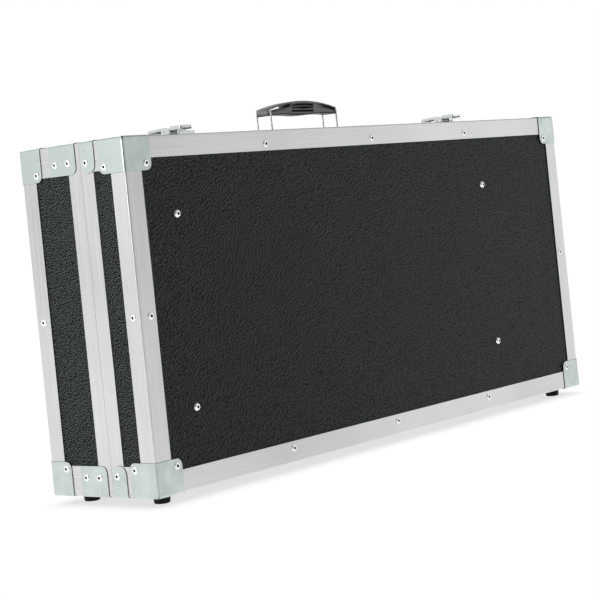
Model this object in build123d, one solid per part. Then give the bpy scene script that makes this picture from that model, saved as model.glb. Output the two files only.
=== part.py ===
from build123d import *
import math
import os

# Flight case, 1080 x 206 x 484 mm over the aluminium, standing on its long narrow side as in
# the photograph. X runs along the length, Y from the lid (front, negative) to the base
# (back, positive), Z is up. The origin is on the floor under the middle of the case.

# Overall sizes
length = 1080
depth = 206
height = 484
lid_depth = 86
foot_height = 14

# Wall build-up
sheet = 1.5
ply = 7
foam = 6
skin_bevel = 0.6

# Aluminium edge angles: legs on the big faces, on the ends, and the wide cross angles
face_leg = 30
end_leg = 28
cross_leg = 41.5
cross_top_leg = 30

# Closing profile around the mouth of each half
closing_face = 24.5
closing_inner = 14
lid_web = 2
base_web = 6
tongue_reach = 3.3
tongue_root = 3.6
tongue_tip = 2.6
groove_side_gap = 0.2
groove_end_gap = 0.9
parting_gap = 0.4

# Pressed steel corner and closing brackets
bracket_sheet = 1.3
bracket_bend = 2.2
bracket_slit = 0.9
bracket_slit_turn = 45
bracket_slit_hole = 2.2
bracket_corner_radius = 10
bracket_reach_x = 49
bracket_reach_z = 47
lid_bracket_reach_y = 49
base_bracket_reach_y = 41.5
base_closing_start = 8.2
base_closing_width = 52.2
base_closing_leg = 42
lid_closing_start = 2.7
lid_closing_width = 26.5
lid_closing_leg = 43
lid_closing_round = 12.5
base_rivet_side = 10.9
base_rivet_pitch = 26.3
base_rivet_down = 25.7
lid_rivet_side = 9
lid_rivet_down = 28.3

# Blind rivets
rivet_radius = 4.75
rivet_top_radius = 2.6
rivet_height = 1.5
rivet_sides = 8
strip_rivet_pitch = 254
strip_rivet_shift = 3
strip_rivet_inset = 20
end_rivet_inset = 14

# Rubber feet under the corner brackets
foot_inset = 34
foot_radius = 12.6
foot_toe_radius = 11.2
foot_sides = 12
foot_round = 1.2
foot_recess_radius = 5.2
foot_recess_depth = 5
foot_screw_hole = 2.4
foot_screw_head = 4.4
foot_screw_head_height = 2.6
foot_screw_shank = 2.2

# Four bolts through the lid's face, each in a standoff with its own stud on the inside
bolt_pitch_x = 746
bolt_pitch_z = 266
bolt_centre_x = -76
bolt_radius = 3
bolt_clearance = 0.3
bolt_head_radius = 5.75
bolt_head_height = 3.2
bolt_head_top = 3.4
bolt_head_sides = 16
bolt_grip = 4.6
washer_radius = 9
washer_height = 1.6
washer_sides = 16
standoff_across_flats = 10
standoff_sides = 6
standoff_length = 7.4
standoff_clearance = 0.05
stud_radius = 2.5
stud_length = 8
foam_hole_radius = 13

# Strap hinges under the bottom
hinge_places = (-350, 0, 350)
hinge_width = 64
hinge_leaf = 30
hinge_sheet = 1.5
hinge_knuckle_radius = 3.4
hinge_axis_drop = 3.8
hinge_pin_radius = 1.6
hinge_pin_clearance = 0.05
hinge_knuckle_gap = 0.5
hinge_leaf_setback = 4.4
hinge_rivet_pitch = 34
hinge_rivet_inset = 9
hinge_corner = 5
knuckle_sides = 10
bore_sides = 12

# Draw latches on the top
latch_pitch = 682
latch_width = 31
latch_sheet = 1.5
latch_plate_start = 2
latch_plate_length = 48
latch_corner = 2.5
latch_ear_gap = 19
latch_ear_radius = 2.9
latch_pin_radius = 1.5
latch_pin_clearance = 0.05
lever_pivot_back = 9
lever_pivot_up = 9.6
lever_width = 25.4
lever_sheet = 1.2
lever_front = 5.6
lever_shoulder = 8
lever_top_start = 31
lever_back = 50
lever_front_height = 14.4
lever_crown_height = 16.8
lever_tail_height = 15.4
lever_side_depth = 4.2
lever_tail_bottom = 3.4
claw_pin_back = 9
claw_pin_drop = 1
claw_sheet = 1.3
claw_arm_width = 17.6
claw_head_width = 24
claw_head_front = -17
claw_head_back = 5
claw_head_corner = 1.4
claw_top = 18
claw_lip_bottom = 14.3
claw_side_bottom = 12.2
claw_crank = 5
claw_eye_radius = 2.6
claw_eye_flank = 1.5
claw_arm_clearance = 0.35
keeper_front = -18.5
keeper_back = -1.2
keeper_width = 31
keeper_tongue_width = 17
keeper_tongue_back = -6.2
keeper_top = 16
keeper_curl = 9
keeper_curl_drop = 1
keeper_bevel = 1.2
keeper_sheet = 1.6
keeper_wall = 9.8
latch_rivet_radius = 2.6
latch_rivet_top = 1.6
latch_rivet_side = 5.5
latch_rivet_end = 4
keeper_rivet_side = 12.1
keeper_rivet_back = 9
latch_rivet_height = 1.1

# Carrying handle on the base's top
handle_back = 143.5
ring_pitch = 164.8
ring_width = 29
ring_wire = 1.3
ring_rest_gap = 0.35
ring_bar_up = 38.6
grip_length = 174
grip_width = 25.8
grip_end_top = 42.7
grip_mid_top = 54.5
grip_top_points = 12
grip_bevel = 2
grip_under = ((0, 31.5), (15, 31.8), (30, 32.8), (45, 33.4), (60, 33.2), (74, 32.2), (87, 31.8))
slot_from_end = 3
slot_inner = 30
slot_below = 5.3
slot_half_height = 2.3
slot_points = 3
groove_length = 54
groove_heights = (37.8, 43.2, 48.2)
groove_bow = (0, 0, 1.2)
groove_half = (1.3, 1.9, 1.3)
groove_taper = (1, 0.35, 1)
groove_depth = 6
clip_length = 36
clip_width = 20
clip_sheet = 1.2
clip_clearance = 0.15
clip_corner = 3
clip_rivet_pitch = 25
clip_rivet_radius = 3.4
clip_rivet_height = 1.2
clip_rivet_top = 2

# Places worked out from the sizes above
x_end = length / 2
y_face = depth / 2
y_part = lid_depth - depth / 2
z_bottom = foot_height
z_top = foot_height + height
z_middle = (z_bottom + z_top) / 2
hinge_axis_z = z_bottom - hinge_axis_drop
handle_y = handle_back - depth / 2
panel_top = z_top - sheet
ring_axis_z = panel_top + ring_wire + ring_rest_gap
grip_axis_z = z_top + ring_bar_up
inner_flange = sheet + ply
profile_inside = inner_flange + sheet
LID = -1
BASE = 1
HALF_NAME = {LID: "lid", BASE: "base"}
WEB = {LID: lid_web, BASE: base_web}
BRACKET_Y = {LID: lid_bracket_reach_y, BASE: base_bracket_reach_y}
CLOSING_DOWN = {LID: lid_rivet_down, BASE: base_rivet_down}
END_CORNERS = [(x, z) for x in (-1, 1) for z in (-1, 1)]

# How far a cutting form reaches past the piece that it cuts
past = 1


def block(x0, x1, y0, y1, z0, z1):
    """A box between two corners, given in any order."""
    size = (abs(x1 - x0), abs(y1 - y0), abs(z1 - z0))
    return Pos((x0 + x1) / 2, (y0 + y1) / 2, (z0 + z1) / 2) * Box(*size)


def bar_along_x(outline, x0, x1):
    """A bar of the section (y, z) between two x places."""
    face = make_face(Polyline(*[(x0, y, z) for y, z in outline], close=True))
    return extrude(face, amount=x1 - x0, dir=(1, 0, 0))


def bar_along_y(outline, y0, y1):
    """A bar of the section (x, z) between two y places."""
    face = make_face(Polyline(*[(x, y0, z) for x, z in outline], close=True))
    return extrude(face, amount=abs(y1 - y0), dir=(0, 1 if y1 > y0 else -1, 0))


def bar_along_z(outline, z0, z1):
    """A bar of the section (x, y) between two z places."""
    face = make_face(Polyline(*[(x, y, z0) for x, y in outline], close=True))
    return extrude(face, amount=z1 - z0, dir=(0, 0, 1))


def rod_x(radius, x0, x1, y, z):
    """A round rod along X."""
    return Pos((x0 + x1) / 2, y, z) * Rot(0, 90, 0) * Cylinder(radius, abs(x1 - x0))


def rod_y(radius, y0, y1, x, z):
    """A round rod along Y."""
    return Pos(x, (y0 + y1) / 2, z) * Rot(90, 0, 0) * Cylinder(radius, abs(y1 - y0))


def facet_x(radius, x0, x1, y, z, sides=bore_sides):
    """A many-sided rod along X whose flats touch the given radius."""
    plane = Plane(origin=(min(x0, x1), y, z), z_dir=(1, 0, 0))
    return extrude(plane * RegularPolygon(radius, sides, major_radius=False), abs(x1 - x0))


def facet_y(radius, y0, y1, x, z, sides=bore_sides):
    """A many-sided rod along Y whose flats touch the given radius."""
    plane = Plane(origin=(x, min(y0, y1), z), z_dir=(0, 1, 0))
    return extrude(plane * RegularPolygon(radius, sides, major_radius=False), abs(y1 - y0))


def frustum(sides, radius, top_radius, tall):
    """A many-sided head that stands on its wide end and narrows toward its top."""
    lean = math.degrees(math.atan((radius - top_radius) / tall))
    return extrude(RegularPolygon(radius, sides, major_radius=False), tall, taper=lean)


def upright_edges(solid):
    """The edges of a plate that run straight up."""
    return solid.edges().filter_by(Axis.Z)


def save(node, *pieces):
    """Writes one named node from its separate solids."""
    solids = []
    for piece in pieces:
        solids.extend(piece.solids())
    export_step(Compound(children=solids), f"parts/{node}.step")


def from_face(side, inward):
    """The y place that lies a distance inward from a half's outer face."""
    return side * (y_face - inward)


def from_parting(side, away):
    """The y place that lies a distance from the parting plane into a half."""
    return y_part + side * away


def to_corner(piece, side_x, side_y, side_z):
    """Mirrors a piece built at the right, back, top corner to another corner."""
    if side_x < 0:
        piece = mirror(piece, about=Plane.YZ)
    if side_y < 0:
        piece = mirror(piece, about=Plane.XZ)
    if side_z < 0:
        piece = mirror(piece, about=Plane.XY.offset(z_middle))
    return piece


def envelope():
    """The bevelled outer form that every aluminium profile stays inside."""
    whole = Pos(0, 0, z_middle) * Box(length, depth, height)
    return chamfer(whole.edges(), skin_bevel)


def panels(side):
    """Five laminated plywood panels of one half: face, top, bottom and two ends."""
    name = HALF_NAME[side]
    x_out = x_end - sheet
    x_in = x_out - ply
    z_low, z_high = z_bottom + sheet, z_top - sheet
    outer, inner = from_face(side, sheet), from_face(side, inner_flange)
    mouth = from_parting(side, WEB[side] + parting_gap / 2)
    face = block(-x_out, x_out, outer, inner, z_low, z_high)
    if side == LID:
        for x, z in bolt_places():
            face -= facet_y(bolt_radius + bolt_clearance, outer - past, inner + past, x, z)
    save(f"{name}_face_panel", face)
    save(f"{name}_top_panel", block(-x_out, x_out, inner, mouth, z_high - ply, z_high))
    save(f"{name}_bottom_panel", block(-x_out, x_out, inner, mouth, z_low, z_low + ply))
    for end, sign in (("left", -1), ("right", 1)):
        plate = block(sign * x_in, sign * x_out, inner, mouth, z_low + ply, z_high - ply)
        save(f"{name}_{end}_panel", plate)


def edge_angles(side, skin):
    """Long, upright and cross aluminium angles over the edges of one half."""
    name = HALF_NAME[side]
    out, under = from_face(side, 0), from_face(side, sheet)
    for edge, z_out, up in (("top", z_top, -1), ("bottom", z_bottom, 1)):
        legs = [
            (out, z_out),
            (from_face(side, face_leg), z_out),
            (from_face(side, face_leg), z_out + up * sheet),
            (under, z_out + up * sheet),
            (under, z_out + up * face_leg),
            (out, z_out + up * face_leg),
        ]
        save(f"{name}_{edge}_edge", bar_along_x(legs, -x_end, x_end) & skin)
    for edge, sign in (("left", -1), ("right", 1)):
        legs = [
            (sign * x_end, out),
            (sign * x_end, from_face(side, end_leg)),
            (sign * (x_end - sheet), from_face(side, end_leg)),
            (sign * (x_end - sheet), under),
            (sign * (x_end - face_leg), under),
            (sign * (x_end - face_leg), out),
        ]
        upright = bar_along_z(legs, z_bottom + face_leg, z_top - face_leg)
        save(f"{name}_{edge}_edge", upright & skin)
    legs = [
        (x_end, z_top),
        (x_end - cross_top_leg, z_top),
        (x_end - cross_top_leg, z_top - sheet),
        (x_end - sheet, z_top - sheet),
        (x_end - sheet, z_top - cross_leg),
        (x_end, z_top - cross_leg),
    ]
    start = from_face(side, face_leg)
    stop = from_parting(side, closing_face)
    cross = bar_along_y(legs, start, stop) & skin
    save(f"{name}_cross_edges", *[to_corner(cross, x, 1, z) for x, z in END_CORNERS])


def closing_section(side):
    """Section of the closing profile as (depth under the skin, distance from the parting)."""
    lip = parting_gap / 2
    inside = profile_inside
    middle = sheet + ply / 2
    web = lip + WEB[side]
    outside = [(0, lip), (0, closing_face), (sheet, closing_face), (sheet, web)]
    inner = [
        (inner_flange, web),
        (inner_flange, closing_inner),
        (inside, closing_inner),
        (inside, lip),
    ]
    if side == LID:
        mouth = [
            (middle + tongue_root / 2, lip),
            (middle + tongue_tip / 2, -tongue_reach),
            (middle - tongue_tip / 2, -tongue_reach),
            (middle - tongue_root / 2, lip),
        ]
    else:
        half_groove = tongue_root / 2 + groove_side_gap
        bottom = tongue_reach + groove_end_gap
        mouth = [
            (middle + half_groove, lip),
            (middle + half_groove, bottom),
            (middle - half_groove, bottom),
            (middle - half_groove, lip),
        ]
    return outside + inner + mouth


def closing_frame(side, skin):
    """Four mitred lengths of tongue or groove profile around the mouth of one half."""
    section = closing_section(side)
    reach = profile_inside + past
    top = bar_along_x([(from_parting(side, v), z_top - n) for n, v in section], -x_end, x_end)
    right = bar_along_z([(x_end - n, from_parting(side, v)) for n, v in section], z_bottom, z_top)
    mitre_top = [(-x_end, z_top), (x_end, z_top), (x_end - reach, z_top - reach)]
    mitre_top.append((reach - x_end, z_top - reach))
    mitre_end = [(x_end, z_top), (x_end, z_bottom), (x_end - reach, z_bottom + reach)]
    mitre_end.append((x_end - reach, z_top - reach))
    top = top & bar_along_y(mitre_top, -y_face, y_face) & skin
    right = right & bar_along_y(mitre_end, -y_face, y_face) & skin
    bars = [top, to_corner(top, 1, 1, -1), right, to_corner(right, -1, 1, 1)]
    save(f"{HALF_NAME[side]}_closing_frame", *bars)


def flap_waste(plane, corner, inward, radius):
    """What rounding takes off one flap corner of a bracket, as a block through its sheet."""
    centre = (corner[0] + inward[0] * radius, corner[1] + inward[1] * radius)
    middle = ((corner[0] + centre[0]) / 2, (corner[1] + centre[1]) / 2)
    waste = Pos(*middle) * Rectangle(radius, radius) - Pos(*centre) * Circle(radius)
    return extrude(plane * waste, amount=bracket_sheet + 2 * past)


def corner_bracket(reach_y, slit):
    """Pressed three-sided corner at the right, back, top corner, closed or with an open seam."""
    x0, y0, z0 = x_end - bracket_reach_x, y_face - reach_y, z_top - bracket_reach_z
    thick = bracket_sheet
    shell = block(x0, x_end + thick, y0, y_face + thick, z0, z_top + thick)
    tip = Vector(x_end + thick, y_face + thick, z_top + thick)
    shell = chamfer([e for e in shell.edges() if distance_to_end(e, tip) < thick], bracket_bend)
    shell -= block(x0 - past, x_end, y0 - past, y_face, z0 - past, z_top)
    size = bracket_corner_radius
    shell -= flap_waste(Plane.XY.offset(z_top - past), (x0, y0), (1, 1), size)
    shell -= flap_waste(Plane.YZ.offset(x_end - past), (y0, z0), (1, 1), size)
    shell -= flap_waste(Plane.ZX.offset(y_face - past), (z0, x0), (1, 1), size)
    if slit:
        seam = Pos(x_end, y_face, 0) * Rot(0, 0, bracket_slit_turn)
        tall = bracket_reach_z - bracket_slit_hole + past
        low = z0 - past
        shell -= seam * Pos(0, 0, low + tall / 2) * Box(bracket_reach_x, bracket_slit, tall)
        hole = Pos(0, 0, z_top - bracket_slit_hole)
        shell -= seam * hole * Box(bracket_reach_x / 2, bracket_slit_hole, bracket_slit_hole)
    return shell


def distance_to_end(edge, point):
    """How far the nearer end of an edge lies from a point."""
    return min((Vector(*vertex.center()) - point).length for vertex in edge.vertices())


def closing_bracket(side):
    """Pressed angle over the right, top end of the closing profile of one half."""
    if side == BASE:
        start, width, leg = base_closing_start, base_closing_width, base_closing_leg
        rounds = [(start, 1, bracket_corner_radius)]
    else:
        start, width, leg = lid_closing_start, lid_closing_width, lid_closing_leg
        rounds = [(start, 1, lid_closing_round), (start + width, -1, lid_closing_round)]
    y0, y1 = from_parting(side, start), from_parting(side, start + width)
    thick = bracket_sheet
    bent = block(x_end - leg, x_end + thick, y0, y1, z_top - leg, z_top + thick)
    bend = [e for e in bent.edges().filter_by(Axis.Y) if e.center().X > x_end and e.center().Z > z_top]
    bent = chamfer(bend, bracket_bend)
    bent -= block(x_end - leg - past, x_end, y0 - width, y1 + width, z_top - leg - past, z_top)
    for away, inward, size in rounds:
        y = from_parting(side, away)
        turn = side * inward
        bent -= flap_waste(Plane.XY.offset(z_top - past), (x_end - leg, y), (1, turn), size)
        bent -= flap_waste(Plane.YZ.offset(x_end - past), (y, z_top - leg), (turn, 1), size)
    return bent


def brackets(side):
    """Corner and closing brackets of one half. The top corners have an open seam."""
    name = HALF_NAME[side]
    clasp = closing_bracket(side)
    corners = []
    for x, z in END_CORNERS:
        corners.append(to_corner(corner_bracket(BRACKET_Y[side], z > 0), x, side, z))
    save(f"{name}_corner_brackets", *corners)
    save(f"{name}_closing_brackets", *[to_corner(clasp, x, 1, z) for x, z in END_CORNERS])


def rivet(place, direction, radius=rivet_radius, top=rivet_top_radius, tall=rivet_height):
    """A low rivet head standing on a face."""
    return Plane(origin=place, z_dir=direction) * frustum(rivet_sides, radius, top, tall)


def frame_rivets(side):
    """Rivets in the edge angles and in the corner and closing brackets of one half."""
    heads = []
    out = from_face(side, 0)
    away = (0, side, 0)
    proud = bracket_sheet
    for sign_z, z_out in ((1, z_top), (-1, z_bottom)):
        for step in (-1, 0, 1):
            x = step * strip_rivet_pitch + sign_z * strip_rivet_shift
            heads.append(rivet((x, out, z_out - sign_z * strip_rivet_inset), away))
            leg_y = from_face(side, strip_rivet_inset)
            heads.append(rivet((x, leg_y, z_out), (0, 0, sign_z)))
    margin = bracket_corner_radius
    reach_y = BRACKET_Y[side] - margin
    for sign_x in (-1, 1):
        x_out = sign_x * x_end
        heads.append(rivet((sign_x * (x_end - strip_rivet_inset), out, z_middle), away))
        heads.append(rivet((x_out, from_face(side, end_rivet_inset), z_middle), (sign_x, 0, 0)))
        for sign_z, z_out in ((1, z_top), (-1, z_bottom)):
            x_in = sign_x * (x_end - bracket_reach_x + margin)
            z_in = z_out - sign_z * (bracket_reach_z - margin)
            y_in = from_face(side, reach_y)
            heads.append(rivet((x_in, out + side * proud, z_in), away))
            heads.append(rivet((x_out + sign_x * proud, y_in, z_in), (sign_x, 0, 0)))
            if sign_z > 0:
                heads.append(rivet((x_in, y_in, z_out + proud), (0, 0, 1)))
            for place in closing_rivets(side):
                z_in = z_out - sign_z * CLOSING_DOWN[side]
                x_in = sign_x * (x_end - CLOSING_DOWN[side])
                heads.append(rivet((x_out + sign_x * proud, place, z_in), (sign_x, 0, 0)))
                heads.append(rivet((x_in, place, z_out + sign_z * proud), (0, 0, sign_z)))
    return heads


def closing_rivets(side):
    """The y places of the rivets in a closing bracket."""
    if side == LID:
        return [from_parting(LID, lid_closing_start + lid_rivet_side)]
    first = base_closing_start + base_closing_width - base_rivet_side
    return [from_parting(BASE, first), from_parting(BASE, first - base_rivet_pitch)]


def feet(side):
    """Rubber feet with their screws, under the bottom corner brackets."""
    name = HALF_NAME[side]
    top = z_bottom - bracket_sheet
    margin = bracket_corner_radius
    body = mirror(frustum(foot_sides, foot_radius, foot_toe_radius, top), about=Plane.XY)
    body = Pos(0, 0, top) * body
    toe = body.faces().sort_by(Axis.Z)[0].edges()
    body = chamfer(toe, foot_round)
    recess = RegularPolygon(foot_recess_radius, rivet_sides, major_radius=False)
    hole = RegularPolygon(foot_screw_hole, rivet_sides, major_radius=False)
    foot = body - extrude(recess, foot_recess_depth) - extrude(hole, top + past)
    head_low = foot_recess_depth - foot_screw_head_height
    head = RegularPolygon(foot_screw_head, rivet_sides, major_radius=False)
    shank = RegularPolygon(foot_screw_shank, rivet_sides, major_radius=False)
    screw = Pos(0, 0, head_low) * extrude(head, foot_screw_head_height)
    screw += Pos(0, 0, foot_recess_depth) * extrude(shank, top - foot_recess_depth)
    places = []
    for sign in (-1, 1):
        x = sign * (x_end - bracket_reach_x + margin)
        places.append(Pos(x, from_face(side, foot_inset), 0))
    save(f"{name}_feet", *[place * foot for place in places])
    save(f"{name}_foot_screws", *[place * screw for place in places])


def bolt_places():
    """The four bolt places in the lid's face as (x, z)."""
    xs = (bolt_centre_x - bolt_pitch_x / 2, bolt_centre_x + bolt_pitch_x / 2)
    zs = (z_middle - bolt_pitch_z / 2, z_middle + bolt_pitch_z / 2)
    return [(x, z) for x in xs for z in zs]


def panel_bolts():
    """Bolts through the lid's face, each with a washer and a hexagon standoff inside."""
    outside = from_face(LID, sheet)
    inside = from_face(LID, inner_flange)
    seat = inside + washer_height
    tail = seat + bolt_grip
    shoulder = seat + standoff_length
    bolts, washers, standoffs = [], [], []
    for x, z in bolt_places():
        head = Plane(origin=(x, outside, z), z_dir=(0, -1, 0))
        dome = head * frustum(bolt_head_sides, bolt_head_radius, bolt_head_top, bolt_head_height)
        bolts.append(dome + facet_y(bolt_radius, outside, tail, x, z))
        ring = facet_y(washer_radius, inside, seat, x, z, washer_sides)
        hole = facet_y(bolt_radius + bolt_clearance, inside - past, seat + past, x, z)
        washers.append(ring - hole)
        body = facet_y(standoff_across_flats / 2, seat, shoulder, x, z, standoff_sides)
        body -= facet_y(bolt_radius + standoff_clearance, seat - past, tail + past, x, z)
        standoffs.append(body + rod_y(stud_radius, shoulder, shoulder + stud_length, x, z))
    save("panel_bolts", *bolts)
    save("panel_washers", *washers)
    save("panel_standoffs", *standoffs)


def lining(side):
    """Foam sheets glued to the inside of one half."""
    wall = inner_flange
    x_out, z_low, z_high = x_end - wall, z_bottom + wall, z_top - wall
    back = from_face(side, wall)
    front = from_face(side, wall + foam)
    mouth = from_parting(side, closing_inner + past)
    sheet_face = block(-x_out, x_out, back, front, z_low, z_high)
    if side == LID:
        for x, z in bolt_places():
            sheet_face -= facet_y(foam_hole_radius, back - past, front + past, x, z)
    pads = [sheet_face]
    pads.append(block(-x_out, x_out, front, mouth, z_high - foam, z_high))
    pads.append(block(-x_out, x_out, front, mouth, z_low, z_low + foam))
    for sign in (-1, 1):
        near, far = sign * (x_out - foam), sign * x_out
        pads.append(block(near, far, front, mouth, z_low + foam, z_high - foam))
    save(f"{HALF_NAME[side]}_lining", *pads)


def hinges():
    """Strap hinges under the bottom: leaves with knuckles on each half, and the pins."""
    leaves = {LID: [], BASE: []}
    pins = []
    third = hinge_width / 3
    half = hinge_width / 2
    low, high = z_bottom - hinge_sheet, z_bottom
    strap_top = hinge_axis_z + hinge_knuckle_radius
    bore = hinge_pin_radius + hinge_pin_clearance
    for x in hinge_places:
        spans = {
            LID: [(x - third / 2, x + third / 2)],
            BASE: [(x - half, x - third / 2), (x + third / 2, x + half)],
        }
        for side in (LID, BASE):
            near = from_parting(side, hinge_leaf_setback)
            far = from_parting(side, hinge_leaf)
            leaf = block(x - half, x + half, near, far, low, high)
            far_end = 0 if side == LID else -1
            leaf = chamfer(upright_edges(leaf).group_by(Axis.Y)[far_end], hinge_corner)
            for start, stop in spans[side]:
                start += hinge_knuckle_gap / 2 if start > x - half else 0
                stop -= hinge_knuckle_gap / 2 if stop < x + half else 0
                tab = [
                    (y_part, strap_top),
                    (near, high),
                    (near, low),
                    (y_part, strap_top - hinge_sheet),
                ]
                roll = facet_x(hinge_knuckle_radius, start, stop, y_part, hinge_axis_z, knuckle_sides)
                leaf += roll + bar_along_x(tab, start, stop)
            leaf -= facet_x(bore, x - hinge_width, x + hinge_width, y_part, hinge_axis_z)
            leaves[side].append(leaf)
        pins.append(rod_x(hinge_pin_radius, x - half, x + half, y_part, hinge_axis_z))
    save("lid_hinge_leaves", *leaves[LID])
    save("base_hinge_leaves", *leaves[BASE])
    save("hinge_pins", *pins)


def hinge_rivets(side):
    """Rivets through the hinge leaves of one half."""
    heads = []
    y = from_parting(side, hinge_leaf - hinge_rivet_inset)
    for x in hinge_places:
        for shift in (-hinge_rivet_pitch / 2, hinge_rivet_pitch / 2):
            heads.append(rivet((x + shift, y, z_bottom - hinge_sheet), (0, 0, -1)))
    return heads


def latch_y(away):
    """A y place on a latch, counted from the parting plane toward the back."""
    return y_part + away


def latch_plate(x):
    """Base plate of a latch with the two ears that carry the lever pin."""
    half = latch_width / 2
    low, plate_top = z_top, z_top + latch_sheet
    start = latch_y(latch_plate_start)
    plate = block(x - half, x + half, start, start + latch_plate_length, low, plate_top)
    plate = chamfer(upright_edges(plate), latch_corner)
    pivot_y, pivot_z = latch_y(lever_pivot_back), low + lever_pivot_up
    wide = latch_ear_radius
    for sign in (-1, 1):
        near = x + sign * latch_ear_gap / 2
        far = near + sign * latch_sheet
        outline = [
            (pivot_y - wide, plate_top),
            (pivot_y - wide, pivot_z + wide / 2),
            (pivot_y - wide / 2, pivot_z + wide),
            (pivot_y + wide / 2, pivot_z + wide),
            (pivot_y + wide, pivot_z + wide / 2),
            (pivot_y + 2 * wide, plate_top),
        ]
        plate += bar_along_x(outline, min(near, far), max(near, far))
    bore = latch_pin_radius + latch_pin_clearance
    return plate - facet_x(bore, x - latch_width, x + latch_width, pivot_y, pivot_z)


def lever(x):
    """Pressed lever: two cheeks that carry the pins, a crowned top behind them and a bent-down tail."""
    front, back = latch_y(lever_front), latch_y(lever_back)
    shoulder = front + lever_shoulder
    half = lever_width / 2
    pivot = (latch_y(lever_pivot_back), z_top + lever_pivot_up)
    claw_pin = (pivot[0] + claw_pin_back, pivot[1] - claw_pin_drop)
    front_top, crown_top, tail_top = [
        z_top + high for high in (lever_front_height, lever_crown_height, lever_tail_height)
    ]
    cheek_low = pivot[1] - latch_ear_radius
    tail_low = z_top + lever_tail_bottom
    side = [
        (front, pivot[1] - latch_ear_radius / 2),
        (front, front_top - lever_sheet),
        (front + lever_sheet, front_top),
        (shoulder, crown_top),
        ((shoulder + back) / 2, crown_top),
        (back - lever_sheet, tail_top),
        (back, tail_top - lever_sheet),
        (back, tail_low),
        (back - lever_sheet, tail_low),
        (back - 2 * lever_sheet, tail_top - lever_side_depth),
        (claw_pin[0] + 2 * latch_ear_radius, crown_top - lever_side_depth),
        (claw_pin[0] + latch_ear_radius, cheek_low),
        (front + latch_ear_radius, cheek_low),
    ]
    body = bar_along_x(side, x - half, x + half)
    under = [
        (front - past, cheek_low - past),
        (front - past, crown_top + past),
        (latch_y(lever_top_start), crown_top + past),
        (latch_y(lever_top_start), crown_top - lever_sheet),
        ((shoulder + back) / 2, crown_top - lever_sheet),
        (back - lever_sheet, tail_top - lever_sheet),
        (back - lever_sheet, tail_low - past),
        (back - 2 * lever_sheet, cheek_low - past),
    ]
    mouth = half - lever_sheet
    body -= bar_along_x(under, x - mouth, x + mouth)
    bore = latch_pin_radius + latch_pin_clearance
    for y, z in (pivot, claw_pin):
        body -= facet_x(bore, x - lever_width, x + lever_width, y, z)
    return body


def claw(x):
    """Claw: an eye on the lever's pin, a cranked arm and a hooded head that hooks the keeper."""
    pivot_z = z_top + lever_pivot_up
    eye_y = latch_y(lever_pivot_back + claw_pin_back)
    eye_z = pivot_z - claw_pin_drop
    half_arm = claw_arm_width / 2
    arm_low = pivot_z + latch_pin_radius + claw_arm_clearance
    arm_high = arm_low + claw_sheet
    top = z_top + claw_top
    head_low = top - claw_sheet
    head_back = latch_y(claw_head_back)
    inside_head = head_back - 2 * claw_sheet
    crank = latch_y(lever_pivot_back - claw_crank)
    profile = [
        (inside_head, head_low),
        (crank, head_low - claw_sheet),
        (crank + 2 * claw_sheet, arm_low),
        (eye_y - claw_eye_flank, arm_low),
        (eye_y, eye_z),
        (eye_y + claw_eye_radius, eye_z),
        (eye_y + claw_eye_flank, arm_high),
        (crank + 3 * claw_sheet, arm_high),
        (head_back, top),
        (inside_head, top),
    ]
    arm = bar_along_x(profile, x - half_arm, x + half_arm)
    arm += facet_x(claw_eye_radius, x - half_arm, x + half_arm, eye_y, eye_z, knuckle_sides)
    half = claw_head_width / 2
    front = latch_y(claw_head_front)
    side_low = z_top + claw_side_bottom
    hood = block(x - half, x + half, front, head_back, side_low, top)
    hood = chamfer(upright_edges(hood).group_by(Axis.Y)[0], claw_head_corner)
    inside = half - claw_sheet
    hood -= block(x - inside, x + inside, front + claw_sheet, head_back + past, z_top, head_low)
    hood -= block(x - inside, x + inside, front - past, head_back, z_top, z_top + claw_lip_bottom)
    bore = latch_pin_radius + latch_pin_clearance
    return arm + hood - facet_x(bore, x - half, x + half, eye_y, eye_z)


def keeper(x):
    """Keeper on the lid: a plate with an upturned front and a raised tongue that the claw hooks."""
    half = keeper_width / 2
    front, back = latch_y(keeper_front), latch_y(keeper_back)
    plate_top = z_top + latch_sheet
    plate = block(x - half, x + half, front, back, z_top, plate_top)
    plate = chamfer(upright_edges(plate).group_by(Axis.Y)[-1], latch_corner)
    wall_top = z_top + keeper_wall
    wall = [
        (x - half, z_top),
        (x + half, z_top),
        (x + half, wall_top - latch_corner),
        (x + half - latch_corner, wall_top),
        (x - half + latch_corner, wall_top),
        (x - half, wall_top - latch_corner),
    ]
    plate += bar_along_y(wall, front, front + latch_sheet)
    half_tongue = keeper_tongue_width / 2
    y = latch_y(keeper_tongue_back)
    top = z_top + keeper_top
    tip = y - keeper_curl
    low = top - keeper_sheet
    side = [
        (y, plate_top),
        (y, top - keeper_bevel),
        (y - keeper_bevel, top),
        (tip, top),
        (tip, low - keeper_curl_drop),
        (tip + keeper_bevel, low - keeper_curl_drop),
        (tip + keeper_sheet, low),
        (y - keeper_sheet, low),
        (y - keeper_sheet, plate_top),
    ]
    return plate + bar_along_x(side, x - half_tongue, x + half_tongue)


def latch_rivets():
    """Small rivets of the latch plates on the base and of the keepers on the lid."""
    size = (latch_rivet_radius, latch_rivet_top, latch_rivet_height)
    level = z_top + latch_sheet
    base_heads, lid_heads = [], []
    for x in latch_places():
        for shift in (-1, 1):
            for away in (latch_rivet_end, latch_plate_length - latch_rivet_end):
                place = (x + shift * latch_rivet_side, latch_y(latch_plate_start + away), level)
                base_heads.append(rivet(place, (0, 0, 1), *size))
            place = (x + shift * keeper_rivet_side, latch_y(keeper_front + keeper_rivet_back), level)
            lid_heads.append(rivet(place, (0, 0, 1), *size))
    return base_heads, lid_heads


def latch_places():
    """The x places of the two latches."""
    return (-latch_pitch / 2, latch_pitch / 2)


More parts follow.
